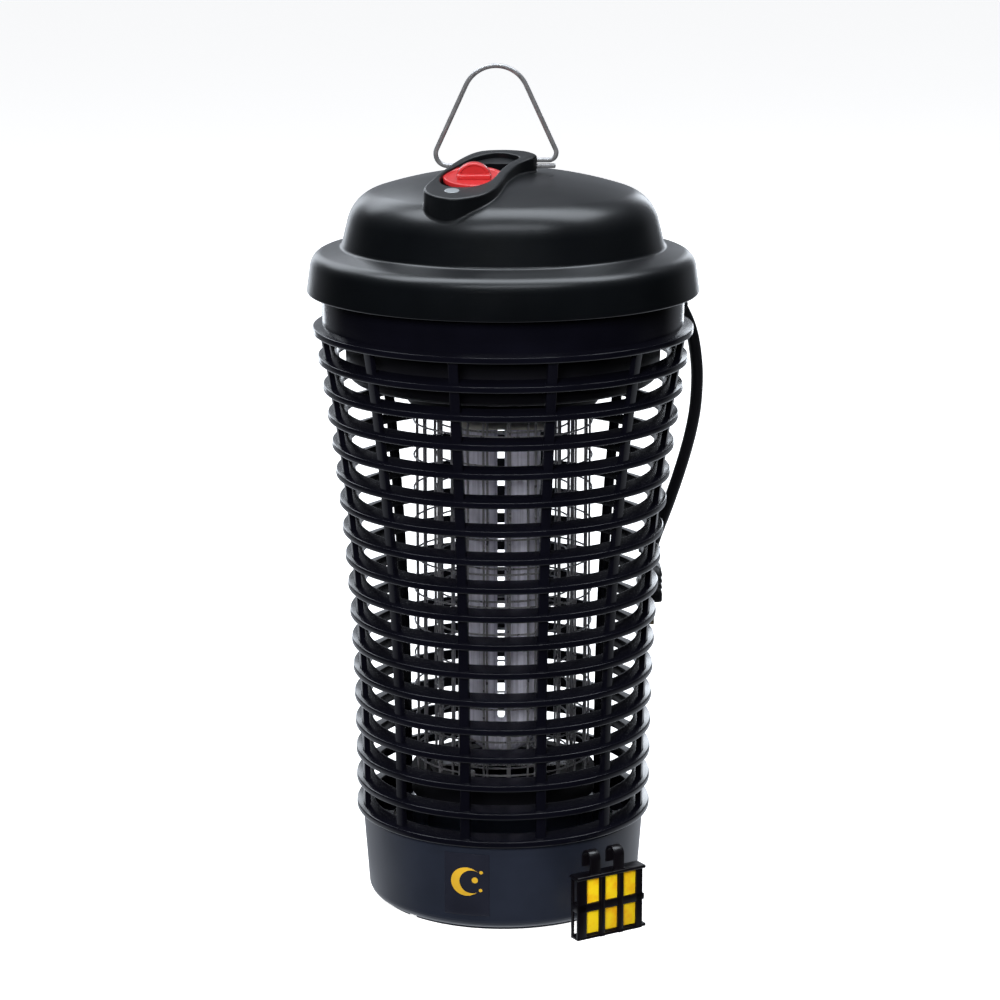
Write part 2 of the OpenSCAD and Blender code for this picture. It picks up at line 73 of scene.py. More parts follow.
class Shader:
    """A material under construction: its nodes, and short ways to add and join them."""

    def __init__(self, name):
        self.material = bpy.data.materials.new(name)
        self.material.use_nodes = True
        self.tree = self.material.node_tree
        self.bsdf = self.tree.nodes["Principled BSDF"]
        self.place = self.node("ShaderNodeTexCoord").outputs["Object"]

    def node(self, kind, **values):
        made = self.tree.nodes.new(kind)
        for key, value in values.items():
            setattr(made, key, value)
        return made

    def join(self, a, b):
        self.tree.links.new(a, b)

    def set(self, **values):
        for key, value in values.items():
            self.bsdf.inputs[key.replace("_", " ")].default_value = value

    def stretched(self, scale):
        """Object coordinates times a scale for each axis."""
        mapping = self.node("ShaderNodeMapping")
        mapping.inputs["Scale"].default_value = scale
        self.join(self.place, mapping.inputs["Vector"])
        return mapping.outputs["Vector"]

    def noise(self, size, detail, rough=0.5, vector=None):
        """Noise whose blobs are about size metres across, or one unit of the vector if it is given."""
        made = self.node("ShaderNodeTexNoise")
        made.inputs["Scale"].default_value = 1 / size if vector is None else 1.0
        made.inputs["Detail"].default_value = detail
        made.inputs["Roughness"].default_value = rough
        self.join(self.place if vector is None else vector, made.inputs["Vector"])
        return made.outputs["Fac"]

    def between(self, fac, low, high):
        """A value that runs from low to high over a noise's usual span."""
        made = self.node("ShaderNodeMapRange")
        made.inputs["From Min"].default_value = NOISE_LOW
        made.inputs["From Max"].default_value = NOISE_HIGH
        made.inputs["To Min"].default_value = low
        made.inputs["To Max"].default_value = high
        self.join(fac, made.inputs["Value"])
        return made.outputs["Result"]

    def tint(self, fac, low, high, start=NOISE_LOW, stop=NOISE_HIGH):
        """Base colour that runs from low to high with fac."""
        ramp = self.node("ShaderNodeValToRGB")
        ramp.color_ramp.elements[0].position = start
        ramp.color_ramp.elements[1].position = stop
        ramp.color_ramp.elements[0].color = (*low, 1)
        ramp.color_ramp.elements[1].color = (*high, 1)
        self.join(fac, ramp.inputs["Fac"])
        self.join(ramp.outputs["Color"], self.bsdf.inputs["Base Color"])

    def bump(self, *layers):
        """Each layer is a height output and its depth in metres."""
        normal = None
        for height, depth in layers:
            made = self.node("ShaderNodeBump")
            made.inputs["Strength"].default_value = 1.0
            made.inputs["Distance"].default_value = depth
            self.join(height, made.inputs["Height"])
            if normal is not None:
                self.join(normal, made.inputs["Normal"])
            normal = made.outputs["Normal"]
        self.join(normal, self.bsdf.inputs["Normal"])


FLOW_SIZE, FLOW_DEPTH = 0.03, 0.00004


def plastic(name, colour, rough, grain=0.0005, depth=0.00002, spread=0.18):
    """Moulded plastic: fine grain, slow flow waviness and slightly uneven gloss."""
    s = Shader(name)
    shade = s.noise(0.035, 4)
    s.tint(shade, [c * (1 - spread) for c in colour], [c * (1 + spread) for c in colour])
    s.join(s.between(s.noise(FLOW_SIZE, 0), rough - 0.025, rough + 0.035), s.bsdf.inputs["Roughness"])
    s.bump((s.noise(FLOW_SIZE, 1), FLOW_DEPTH), (s.noise(grain, 2), depth))
    s.set(IOR=1.5)
    return s.material


def metal(name, colour, rough, along=(1500, 1500, 60), depth=0.000006, bare=0.75):
    """Drawn or brushed metal, dulled by plating: fine lines along one axis over a mottled surface."""
    s = Shader(name)
    lines = s.noise(None, 4, vector=s.stretched(along))
    s.tint(lines, [c * 0.72 for c in colour], colour, 0.35, 0.65)
    s.join(s.between(s.noise(0.004, 5), rough - 0.07, rough + 0.1), s.bsdf.inputs["Roughness"])
    s.bump((lines, depth))
    s.set(Metallic=bare)
    return s.material


def lamp_glass(name):
    """Powder-coated tube under clear glass: a lavender-grey coat with faint runs down the tube."""
    s = Shader(name)
    runs = s.noise(None, 5, vector=s.stretched((420, 420, 9)))
    s.tint(runs, (0.44, 0.44, 0.53), (0.82, 0.82, 0.96), 0.35, 0.66)
    s.join(s.between(s.noise(0.006, 4), 0.22, 0.34), s.bsdf.inputs["Roughness"])
    s.bump((runs, 0.00002))
    s.set(Coat_Weight=0.9, Coat_Roughness=0.04, IOR=1.5)
    return s.material


def lure_block(name):
    """Pressed waxy tablet: warm yellow, darker in patches, with a chalky grain."""
    s = Shader(name)
    s.tint(s.noise(0.011, 5, 0.6), (0.93, 0.44, 0.008), (1.0, 0.70, 0.012), 0.34, 0.56)
    s.join(s.between(s.noise(0.002, 4), 0.42, 0.6), s.bsdf.inputs["Roughness"])
    s.bump((s.noise(0.004, 3), 0.00012), (s.noise(0.0006, 3), 0.00003))
    return s.material


def laminations(name):
    """Stacked transformer plates: thin dark lines across the stack."""
    s = Shader(name)
    wave = s.node("ShaderNodeTexWave", bands_direction="Y")
    wave.inputs["Scale"].default_value = 320
    wave.inputs["Distortion"].default_value = 0.4
    s.join(s.place, wave.inputs["Vector"])
    s.tint(wave.outputs["Fac"], (0.05, 0.05, 0.055), (0.22, 0.22, 0.23), 0.2, 0.6)
    s.join(s.between(s.noise(0.003, 4), 0.35, 0.55), s.bsdf.inputs["Roughness"])
    s.bump((wave.outputs["Fac"], 0.00008))
    s.set(Metallic=0.8)
    return s.material


def winding(name):
    """Turns of enamelled wire side by side."""
    s = Shader(name)
    wave = s.node("ShaderNodeTexWave", bands_direction="Z")
    wave.inputs["Scale"].default_value = 260
    wave.inputs["Distortion"].default_value = 0.6
    s.join(s.place, wave.inputs["Vector"])
    s.tint(wave.outputs["Fac"], (0.22, 0.07, 0.02), (0.72, 0.32, 0.12), 0.1, 0.7)
    s.join(s.between(s.noise(0.002, 4), 0.25, 0.4), s.bsdf.inputs["Roughness"])
    s.bump((wave.outputs["Fac"], 0.00015))
    s.set(Metallic=0.9)
    return s.material


def solder_mask(name):
    """Green board with darker tracks under the mask."""
    s = Shader(name)
    cells = s.node("ShaderNodeTexVoronoi", distance="MANHATTAN", feature="DISTANCE_TO_EDGE")
    cells.inputs["Scale"].default_value = 160
    s.join(s.place, cells.inputs["Vector"])
    s.tint(cells.outputs["Distance"], (0.02, 0.10, 0.04), (0.04, 0.24, 0.09), 0.04, 0.10)
    s.join(s.between(s.noise(0.004, 4), 0.25, 0.4), s.bsdf.inputs["Roughness"])
    s.bump((cells.outputs["Distance"], 0.00005))
    return s.material


MATERIALS = {
    "cage": plastic("cage_moulding", (0.0032, 0.0032, 0.0060), 0.19, grain=0.0016, depth=0.000004),
    "base": plastic("base_moulding", (0.0150, 0.0185, 0.030), 0.38, grain=0.0007, depth=0.00001),
    "plate": plastic("plate_film", (0.0160, 0.0175, 0.027), 0.18, grain=0.002, depth=0.000003),
    "emblem": plastic("emblem_ink", (0.72, 0.42, 0.03), 0.35, grain=0.001, depth=0.00001, spread=0.3),
    "cap": plastic("cap_moulding", (0.0024, 0.0029, 0.0036), 0.31, grain=0.0016, depth=0.000004),
    "housing": plastic("housing_moulding", (0.0028, 0.0033, 0.0040), 0.38, grain=0.0016, depth=0.000004),
    "black": plastic("black_moulding", (0.006, 0.006, 0.008), 0.42),
    "red": plastic("red_moulding", (0.42, 0.022, 0.023), 0.24, grain=0.0016, depth=0.000002, spread=0.06),
    "white": plastic("white_moulding", (0.62, 0.62, 0.58), 0.45, spread=0.06),
    "lens": plastic("frosted_lens", (0.20, 0.215, 0.225), 0.3, spread=0.06, depth=0.00001),
    "sensor": plastic("sensor_resin", (0.20, 0.015, 0.015), 0.2, spread=0.1),
    "steel": metal("bright_strip", (0.66, 0.67, 0.70), 0.26),
    "screw": metal("zinc_plate", (0.48, 0.49, 0.50), 0.32, along=(900, 900, 900)),
    "bail": metal("bail_wire", (0.46, 0.46, 0.47), 0.30, along=(260, 260, 260), depth=0.0000005, bare=0.72),
    "grid": metal("grid_wire", (0.42, 0.42, 0.45), 0.3, bare=0.6),
    "brass": metal("plug_brass", (0.62, 0.50, 0.30), 0.25),
    "lamp": lamp_glass("lamp_glass"),
    "core": laminations("core_plates"),
    "coil": winding("coil_wire"),
    "board": solder_mask("board_mask"),
    "sleeve": plastic("capacitor_sleeve", (0.02, 0.06, 0.32), 0.28, spread=0.1),
    "jacket": plastic("cord_jacket", (0.008, 0.008, 0.010), 0.44, grain=0.0006, depth=0.00004),
    "lure": plastic("lure_moulding", (0.0040, 0.0032, 0.0045), 0.30, grain=0.0009, depth=0.000006),
    "tablet": lure_block("lure_block"),
}

FINISH = {
    "base_cup": "base", "base_screws": "screw", "label_plate": "plate", "guard_cage": "cage",
    "support_strap": "steel", "strap_screws": "screw", "lower_insulator": "black",
    "insulator_screws": "screw", "lamp_clip": "steel", "grid_terminals": "steel",
    "outer_grid": "grid", "outer_grid_hoops": "grid", "inner_grid": "grid",
    "inner_grid_hoops": "grid", "upper_insulator": "black", "lamp_tube": "lamp",
    "lamp_base": "white", "lamp_pins": "brass", "lamp_socket": "white",
    "electronics_tray": "black", "tray_screws": "screw", "transformer_core": "core",
    "transformer_coil": "coil", "transformer_screws": "screw", "lamp_ballast": "black",
    "board_standoffs": "white", "circuit_board": "board", "capacitors": "sleeve", "fuse": "lens",
    "terminal_block": "white", "top_cap": "cap", "cap_screws": "screw", "sensor_lens": "lens",
    "light_sensor": "sensor", "rotary_switch": "black", "switch_nut": "steel",
    "switch_spindle": "steel", "power_knob": "red", "bail": "bail", "strain_relief": "jacket",
    "cord": "jacket", "plug_body": "jacket", "plug_blades": "brass", "lure_frame": "lure",
    "lure_tablet": "tablet",
}


def finish_cad_nodes():
    for name, finish in FINISH.items():
        mesh = nodes[name].data
        mesh.materials.clear()
        mesh.materials.append(MATERIALS[finish])


finish_cad_nodes()

# ---------------------------------------------------------------- mesh helpers


def arc(centre, radius, start, stop, steps=8):
    """Points of an arc in a plane, by angles in degrees."""
    angles = [math.radians(start + (stop - start) * i / steps) for i in range(steps + 1)]
    return [(centre[0] + radius * math.cos(a), centre[1] + radius * math.sin(a)) for a in angles]


def smooth_point(a, b, c, d, t):
    """Catmull-Rom point between b and c."""
    return 0.5 * (2 * b + (c - a) * t + (2 * a - 5 * b + 4 * c - d) * t * t
                  + (3 * b - a - 3 * c + d) * t ** 3)


def closed_curve(points, steps):
    """A smooth closed line through points, with so many steps from each to the next."""
    p = [Vector(q) for q in points]
    n = len(p)
    return [smooth_point(p[i - 1], p[i], p[(i + 1) % n], p[(i + 2) % n], k / steps)
            for i in range(n) for k in range(steps)]


def open_curve(points, steps):
    """A smooth open line through points."""
    p = [Vector(q) for q in points]
    last = len(p) - 1
    line = [smooth_point(p[max(i - 1, 0)], p[i], p[i + 1], p[min(i + 2, last)], k / steps)
            for i in range(last) for k in range(steps)]
    return line + [p[last]]


def resampled(line, count):
    """A closed line as count points at even distances, from the line's first point."""
    ring = line + [line[0]]
    run = [0.0]
    for a, b in zip(ring, ring[1:]):
        run.append(run[-1] + (b - a).length)
    out, k = [], 0
    for i in range(count):
        want = run[-1] * i / count
        while run[k + 1] < want:
            k += 1
        share = (want - run[k]) / max(run[k + 1] - run[k], 1e-9)
        out.append(ring[k].lerp(ring[k + 1], share))
    return out


def outward(line):
    """Unit normals in the XY plane, pointing out of a closed line that runs counter-clockwise."""
    n = len(line)
    out = []
    for i in range(n):
        way = line[(i + 1) % n] - line[i - 1]
        out.append(Vector((way.y, -way.x)).normalized())
    return out


class Build:
    """A mesh under construction, in millimetres."""

    def __init__(self):
        self.bm = bmesh.new()

    def row(self, points):
        """Vertices at points."""
        return [self.bm.verts.new(Vector(p) * MM) for p in points]

    def bridge(self, a, b):
        """Faces between two closed rows of vertices."""
        n = len(a)
        for i in range(n):
            j = (i + 1) % n
            self.bm.faces.new((a[i], a[j], b[j], b[i]))

    def rows(self, rows, wrap=False):
        """A skin over closed rows of points; wrap joins the last row to the first."""
        made = [self.row(r) for r in rows]
        for a, b in zip(made, made[1:]):
            self.bridge(a, b)
        if wrap:
            self.bridge(made[-1], made[0])
        return made

    def lid(self, row, flip=False):
        """One face over a row."""
        self.bm.faces.new(row[::-1] if flip else row)

    def lathe(self, profile, segments):
        """A closed profile of (radius, height) turned about Z."""
        turned = []
        for i in range(segments):
            a = 2 * math.pi * i / segments
            turned.append([(r * math.cos(a), r * math.sin(a), z) for r, z in profile])
        self.rows(turned, wrap=True)

    def solid(self, profile, segments, place):
        """A profile of (radius, height) from axis to axis, turned about the place's Z."""
        rows = []
        for r, z in profile:
            if r > 1e-6:
                rows.append(self.row([place @ Vector((r * math.cos(t), r * math.sin(t), z))
                                      for t in (2 * math.pi * i / segments for i in range(segments))]))
            else:
                rows.append(self.bm.verts.new((place @ Vector((0, 0, z))) * MM))
        for a, b in zip(rows, rows[1:]):
            if isinstance(a, list) and isinstance(b, list):
                self.bridge(a, b)
            elif isinstance(a, list):
                for i in range(segments):
                    self.bm.faces.new((a[i], a[(i + 1) % segments], b))
            else:
                for i in range(segments):
                    self.bm.faces.new((a, b[(i + 1) % segments], b[i]))

    def block(self, low, high, place, edge, steps=2):
        """A box with rounded edges."""
        part = bmesh.new()
        size = Vector(high) - Vector(low)
        middle = (Vector(high) + Vector(low)) / 2
        bmesh.ops.create_cube(part, size=1, matrix=Matrix.Translation(middle) @ Matrix.Diagonal((*size, 1)))
        bmesh.ops.bevel(part, geom=part.edges[:], offset=edge, segments=steps, profile=0.5, affect="EDGES")
        self.add(part, place)

    def add(self, part, place):
        """Takes in another mesh that is in millimetres."""
        made = [self.bm.verts.new((place @ v.co) * MM) for v in part.verts]
        part.verts.index_update()
        for face in part.faces:
            self.bm.faces.new([made[v.index] for v in face.verts])
        part.free()

    def tube(self, line, radius, sides, closed=False):
        """A round tube along points; radius may be a number or one number for each point."""
        n = len(line)
        p = [Vector(q) for q in line]
        side = None
        rows = []
        for i in range(n):
            a = p[i - 1] if closed or i else p[0]
            b = p[(i + 1) % n] if closed or i < n - 1 else p[-1]
            way = (b - a).normalized()
            if side is None:
                side = way.orthogonal().normalized()
            side = (side - way * side.dot(way)).normalized()
            up = way.cross(side)
            r = radius[i] if isinstance(radius, (list, tuple)) else radius
            rows.append([p[i] + r * (side * math.cos(t) + up * math.sin(t))
                         for t in (2 * math.pi * k / sides for k in range(sides))])
        made = self.rows(rows, wrap=closed)
        if not closed:
            self.lid(made[0], True)
            self.lid(made[-1])

    def piece(self, name, finish, body, stands_for=(), smooth=40):
        """Ends the mesh as an object on a body, in place of CAD nodes; smooth is the sharpest soft edge."""
        bmesh.ops.remove_doubles(self.bm, verts=self.bm.verts[:], dist=1e-7)
        bmesh.ops.recalc_face_normals(self.bm, faces=self.bm.faces[:])
        mesh = bpy.data.meshes.new(name)
        self.bm.to_mesh(mesh)
        self.bm.free()
        made = bpy.data.objects.new(name, mesh)
        bpy.context.scene.collection.objects.link(made)
        mesh.materials.append(MATERIALS[finish])
        mesh.shade_smooth()
        mesh.set_sharp_from_angle(angle=math.radians(smooth))
        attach(made, body)
        if stands_for:
            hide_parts(*stands_for)
        return made


# ---------------------------------------------------------------- mains lead

CORD = [(112, 63, 358), (116, 65.5, 349.5), (119, 67.5, 340), (121, 69, 329), (122.2, 70, 317),
        (122.2, 71, 304), (121.2, 71.5, 291), (119, 72, 278), (116, 72, 265.5), (112.6, 72, 253.5),
        (109, 72, 242), (105.3, 72, 231), (101.5, 72, 220.5), (97.8, 72, 210.5), (95.5, 72, 203)]
CORD_D = 7.6


def make_cord():
    """The hanging lead, with its plug."""
    line = open_curve(CORD, 4)
    build = Build()
    build.tube(line, CORD_D / 2, 24)
    made = build.piece("cord_jacket", "jacket", "zapper", ["cord"])
    make_plug()


# ---------------------------------------------------------------- shape of the mouldings


def rounded(corners, steps=4):
    """An outline of (x, y, radius) corners, each turned through an arc of its radius."""
    out = []
    n = len(corners)
    for i in range(n):
        x, y, r = corners[i]
        here = Vector((x, y))
        if r <= 0:
            out.append((x, y))
            continue
        before = Vector(corners[i - 1][:2]) - here
        after = Vector(corners[(i + 1) % n][:2]) - here
        half = before.angle(after) / 2
        reach = min(r / math.tan(half), before.length * 0.49, after.length * 0.49)
        start = here + before.normalized() * reach
        stop = here + after.normalized() * reach
        for k in range(steps + 1):
            t = k / steps
            p = start.lerp(here, t).lerp(here.lerp(stop, t), t)
            out.append((p.x, p.y))
    return out


def inset_line(line, depth):
    """An open line moved to its right-hand side."""
    out = []
    for i in range(len(line)):
        a = Vector(line[max(i - 1, 0)])
        b = Vector(line[min(i + 1, len(line) - 1)])
        way = (b - a).normalized()
        out.append((line[i][0] - way.y * depth, line[i][1] + way.x * depth))
    return out


RING_COUNT, RING_PITCH, RING_TOP = 18, 17.6, 357.5
RING_LOW = RING_TOP - RING_PITCH * (RING_COUNT - 1)
CAGE_LOW_R, CAGE_FLARE, FLARE_POWER = 91.3, 23.9, 2.3
BAR_ANGLES = range(15, 375, 30)
BAR_W, BAR_FRONT, BAR_BACK = 6, 2.5, 6
RING_DEPTH = 10.5
COLLAR_R, COLLAR_TOP, LEDGE_Z, WALL = 109.5, 386, 382.5, 2.5
SKIRT_R, SKIRT_LOW, SKIRT_WALL = 83.6, 44, 2.4


def cage_r(z):
    """The rings' outer radius at a height."""
    share = max(0.0, (z - RING_LOW) / (RING_TOP - RING_LOW))
    return CAGE_LOW_R + CAGE_FLARE * share ** FLARE_POWER


def add_bar(build, azimuth):
    """One upright bar, a rounded oblong section that follows the cage's flare."""
    turn = Matrix.Rotation(math.radians(azimuth), 4, "Z")
    levels = [RING_TOP - RING_PITCH * i / 2 for i in range(2 * RING_COUNT - 1)]
    rows = []
    for z in levels:
        outer, inner, half = cage_r(z) - BAR_FRONT, cage_r(z) - BAR_BACK, BAR_W / 2
        section = rounded([(inner, -half, 0.4), (outer, -half, 0.7),
                           (outer, half, 0.7), (inner, half, 0.4)], 3)
        rows.append([turn @ Vector((x, y, z)) for x, y in section])
    made = build.rows(rows)
    build.lid(made[0])
    build.lid(made[-1])


def make_cage():
    """Rings, upright bars, collar with its ledge, skirt, screw bosses and strap pads, as one moulding."""
    build = Build()
    for k in range(RING_COUNT):
        z = RING_TOP - RING_PITCH * k
        r = cage_r(z)
        build.lathe(rounded([(r - RING_DEPTH, z - 2.3, 0.6), (r, z - 2.3, 0.9), (r, z + 1.4, 0.9),
                             (r - RING_DEPTH, z + 4.3, 0.8)]), 256)
    for azimuth in BAR_ANGLES:
        add_bar(build, azimuth)
    build.lathe(rounded([
        (COLLAR_R - WALL, RING_TOP - 1.5, 0), (COLLAR_R - 0.4, RING_TOP - 1.5, 0),
        (COLLAR_R + 0.4, COLLAR_TOP, 0.8), (COLLAR_R - WALL, COLLAR_TOP, 0.8),
        (COLLAR_R - WALL, LEDGE_Z, 0), (COLLAR_R - 6, LEDGE_Z, 0.4), (COLLAR_R - 6, LEDGE_Z - 2, 0.4),
        (COLLAR_R - WALL, LEDGE_Z - 5, 0)]), 256)
    build.lathe(rounded([(SKIRT_R - SKIRT_WALL, SKIRT_LOW, 0.5), (SKIRT_R, SKIRT_LOW, 0.8),
                         (SKIRT_R, RING_LOW, 0), (SKIRT_R - SKIRT_WALL, RING_LOW, 0)]), 256)
    for azimuth in BAR_ANGLES:
        turn = Matrix.Rotation(math.radians(azimuth), 4, "Z")
        build.block((SKIRT_R - 2, -BAR_W / 2, SKIRT_LOW + 1), (SKIRT_R, BAR_W / 2, RING_LOW), turn, 0.3)
    for a in (45, 135, 225, 315):
        turn = Matrix.Rotation(math.radians(a), 4, "Z")
        boss = [(0, 53.9), (4.4, 53.9), (5, 53.4), (5, SKIRT_LOW), (2, SKIRT_LOW), (2, 52), (0, 52)]
        build.solid(boss, 32, turn @ Matrix.Translation((75, 0, 0)))
        build.block((79, -2, SKIRT_LOW), (82.4, 2, 53.5), turn, 0.3)
    for a in (0, 180):
        turn = Matrix.Rotation(math.radians(a), 4, "Z")
        build.block((66, -8, SKIRT_LOW), (82.2, 8, SKIRT_LOW + 2), turn, 0.4)
    build.piece("ring_cage", "cage", "zapper", ["guard_cage"])


TILT = math.radians(11)
HOUSING_AT = Vector((0, -83.5, 446.9))
HOUSING = [(-46, 17), (-42, 5), (-29, -2.5), (-14, 3.5), (-5.5, 15), (-1, 29), (3, 46), (10, 64),
           (19, 76), (19.5, 82), (12, 88.5), (-2, 90.5), (-15, 87), (-25, 74), (-35, 52), (-42, 33)]
RECESS = [(-37, 35), (-35, 24.5), (-28, 19.5), (-18, 20.5), (-9.5, 28), (-5, 38), (-1.5, 51), (4, 65),
          (9.5, 75), (4, 81.5), (-5, 83.5), (-17, 75), (-26, 61), (-34, 47)]
SHELF_FROM, SHELF_W = 71, -3
HOUSING_PLACE = Matrix.Translation(HOUSING_AT) @ Matrix.Rotation(TILT, 4, "X")
CROWN_Z, CROWN_R, SHOULDER_R, SHOULDER_X, SIDE_LEAN = 453, 250, 25, 69.2, 14
SHOULDER_Z = CROWN_Z - CROWN_R + math.sqrt((CROWN_R - SHOULDER_R) ** 2 - SHOULDER_X ** 2)
CROWN_FROM = math.degrees(math.atan2(SHOULDER_Z - CROWN_Z + CROWN_R, SHOULDER_X))
BRIM_R, BRIM_Z = 118.5, 380


def dome_z(x, y):
    """Height of the cap's outer face over a point."""
    r = math.hypot(x, y)
    if r < CROWN_R * math.cos(math.radians(CROWN_FROM)):
        return CROWN_Z - CROWN_R + math.sqrt(CROWN_R ** 2 - r ** 2)
    return SHOULDER_Z + math.sqrt(max(SHOULDER_R ** 2 - (r - SHOULDER_X) ** 2, 0))


def cap_line():
    """The cap's outer face, from its lower lip up to the middle of the crown."""
    brim = rounded([(BRIM_R - WALL - 0.2, BRIM_Z, 0), (BRIM_R, BRIM_Z, 1.0), (115.35, 402.54, 10.5),
                    (97.4, 407.3, 3), (93.46, 423.1, 0)], 10)
    brim = brim[:-1]
    return (brim + arc((SHOULDER_X, SHOULDER_Z), SHOULDER_R, SIDE_LEAN, CROWN_FROM, 22)
            + arc((0, CROWN_Z - CROWN_R), CROWN_R, CROWN_FROM, 90, 14)[1:])


def make_cap():
    """The cap's shell with four screw bosses in its brim, cut open under the housing's recess."""
    outer = cap_line()
    inner = inset_line(outer, WALL)
    inner[0] = (BRIM_R - WALL - 0.2, BRIM_Z + 1)
    inner[-1] = (0, CROWN_Z - WALL)
    build = Build()
    build.lathe(outer + inner[::-1], 288)
    boss = [(0, COLLAR_TOP), (3.1, COLLAR_TOP), (3.1, 392), (0, 392)]
    for a in (0, 90, 180, 270):
        place = Matrix.Rotation(math.radians(a), 4, "Z") @ Matrix.Translation((112.4, 0, 0))
        build.solid(boss, 32, place)
    cap = build.piece("cap_shell", "cap", "zapper", ["top_cap"])
    cutter = Build()
    opening = closed_curve(RECESS, 6)
    wide = [p + n * 1.6 for p, n in zip(opening, outward(opening))]
    rows = [[HOUSING_PLACE @ Vector((p.x, p.y, w)) for p in wide] for w in (-16, 14)]
    made = cutter.rows(rows)
    cutter.lid(made[0], True)
    cutter.lid(made[1])
    knife = cutter.piece("knife", "cap", "zapper")
    cut(cap, knife)


def cut(piece, knife):
    """Takes the knife's shape out of a piece, and deletes the knife."""
    modifier = piece.modifiers.new("cut", "BOOLEAN")
    modifier.operation = "DIFFERENCE"
    modifier.solver = "EXACT"
    modifier.object = knife
    bpy.context.view_layer.update()
    whole = piece.evaluated_get(bpy.context.evaluated_depsgraph_get())
    result = bpy.data.meshes.new_from_object(whole)
    piece.modifiers.clear()
    result.name = piece.name
    piece.data = result
    bpy.data.objects.remove(knife)


def on_dome(p, direction, clearance):
    """Point down a housing wall from p where it stands clearance above the cap's face."""
    low, high = 0.0, 60.0
    for _ in range(40):
        middle = (low + high) / 2
        q = p + direction * middle
        low, high = (middle, high) if q.z - dome_z(q.x, q.y) > clearance else (low, middle)
    return p + direction * low


def make_housing():
    """Raised housing: flat sloping rim, rounded edges, a recess for the knob and a fillet on to the cap."""
    count, edge, lip, fillet, floor = 240, 1.6, 0.9, 1.0, -10.0
    outer = resampled(closed_curve(HOUSING, 12), count)
    inner = resampled(closed_curve(RECESS, 12), count)
    out_n, in_n = outward(outer), outward(inner)

    def flat(line, normals, off, w):
        """A line of the housing's own plane at height w, moved out by off."""
        return [HOUSING_PLACE @ Vector((p.x + n.x * off, p.y + n.y * off, w)) for p, n in zip(line, normals)]

    rows = [flat(inner, in_n, off, floor + up) for off, up in ((-1.2, 0), (-0.35, 0.35), (0, 1.2))]
    rows += [flat(inner, in_n, lip * (1 - math.cos(t)), -lip * (1 - math.sin(t)))
             for t in (math.radians(a) for a in (0, 22, 45, 68, 90))]
    rows += [flat(outer, out_n, -edge * (1 - math.sin(t)), -edge * (1 - math.cos(t)))
             for t in (math.radians(a) for a in (0, 18, 36, 54, 72, 90))]
    down = HOUSING_PLACE.to_3x3() @ Vector((0, 0, -1))
    feet = [on_dome(p, down, fillet) for p in rows[-1]]
    across = [(HOUSING_PLACE.to_3x3() @ Vector((n.x, n.y, 0))).normalized() for n in out_n]
    for step in range(7):
        t = math.radians(15 * step)
        row = []
        for p, n in zip(feet, across):
            x, y = p.x + n.x * fillet * (1 - math.cos(t)), p.y + n.y * fillet * (1 - math.cos(t))
            row.append(Vector((x, y, dome_z(x, y) + fillet * (1 - math.sin(t)) - 0.03 * (step == 6))))
        rows.append(row)
    rows.append([Vector((p.x, p.y, dome_z(p.x, p.y) - 1.6)) for p in feet])
    rows.append(flat(outer, out_n, -4.5, -14.0))
    build = Build()
    made = build.rows(rows)
    build.lid(made[0], True)
    build.lid(made[-1])
    shelf = [p + n for p, n in zip(inner, in_n) if p.y > SHELF_FROM]
    made = build.rows([[HOUSING_PLACE @ Vector((p.x, p.y, w)) for p in shelf] for w in (floor, SHELF_W)])
    build.lid(made[0], True)
    build.lid(made[1])
    build.piece("knob_housing", "housing", "zapper", smooth=32)


KNOB_AT = (-17.1, 45)
KNOB_R, KNOB_TOP, GRIP_R, GRIP_LOW = 18.3, -1.6, 10.6, -2.6


def grip_outline(inset, steps=28):
    """The grip seen face on: the part of a disc that stands above the knob's top."""
    radius = GRIP_R - inset
    start = math.asin((0.6 - GRIP_LOW - 1.2) / GRIP_R)
    turns = [start + (math.pi - 2 * start) * i / steps for i in range(steps + 1)]
    return [(radius * math.cos(a), GRIP_LOW + radius * math.sin(a)) for a in turns]


def make_knob():
    """The knob: a dished disc with a half-round grip and its foot; and the sensor's window beside it."""
    place = HOUSING_PLACE @ Matrix.Translation((*KNOB_AT, KNOB_TOP))
    build = Build()
    rim = rounded([(0, -6.5, 0), (6, -6.5, 0.4), (6, -3, 0.4), (KNOB_R, -3, 0.6), (KNOB_R, 0, 0.9),
                   (KNOB_R - 2.2, 0, 0.3), (KNOB_R - 2.8, -0.45, 0.3), (0, -0.45, 0)], 4)
    build.solid(rim, 96, place)
    thick, lean = 3.0, 0.16
    layers = [(0.9, thick), (0.3, thick - 0.25), (0, thick - 0.9), (0, 0.9 - thick), (0.2, 0.3 - thick),
              (0.6, -thick), (1.15, -thick), (1.4, 0.2 - thick), (1.55, 0.6 - thick)]
    rows = [[place @ Vector((x, v + (lean * w if v < 0 else 0), w)) for x, w in grip_outline(inset)]
            for inset, v in layers]
    made = build.rows(rows)
    build.lid(made[0])
    build.lid(made[-1], True)
    build.block((-10, -6.5, -1), (10, -2.2, 2.15), place, 0.9, 3)
    build.piece("knob_red", "red", "knob", ["power_knob"])
    lens = Build()
    at = HOUSING_PLACE @ Matrix.Translation((-29.5, 12.5, 0))
    dome = rounded([(0, -3, 0), (4.4, -3, 0), (4.4, 0.1, 0.3), (3.7, 0.25, 0.2), (0, 0.55, 0)], 3)
    lens.solid(dome, 48, at)
    lens.piece("sensor_window", "lens", "zapper", ["sensor_lens"])


BAIL_Y, BAIL_Z, WIRE_R = -2.8, 455.2, 1.45
BAIL_LEAN, BAIL_TOP_R = 24.8, 19.7
BAIL_LEFT_R, BAIL_LEFT_LEG = 7.2, 41.7
BAIL_RIGHT_R, BAIL_RIGHT_LEG = 4.5, 42.2
BAIL_TIP = 0.9


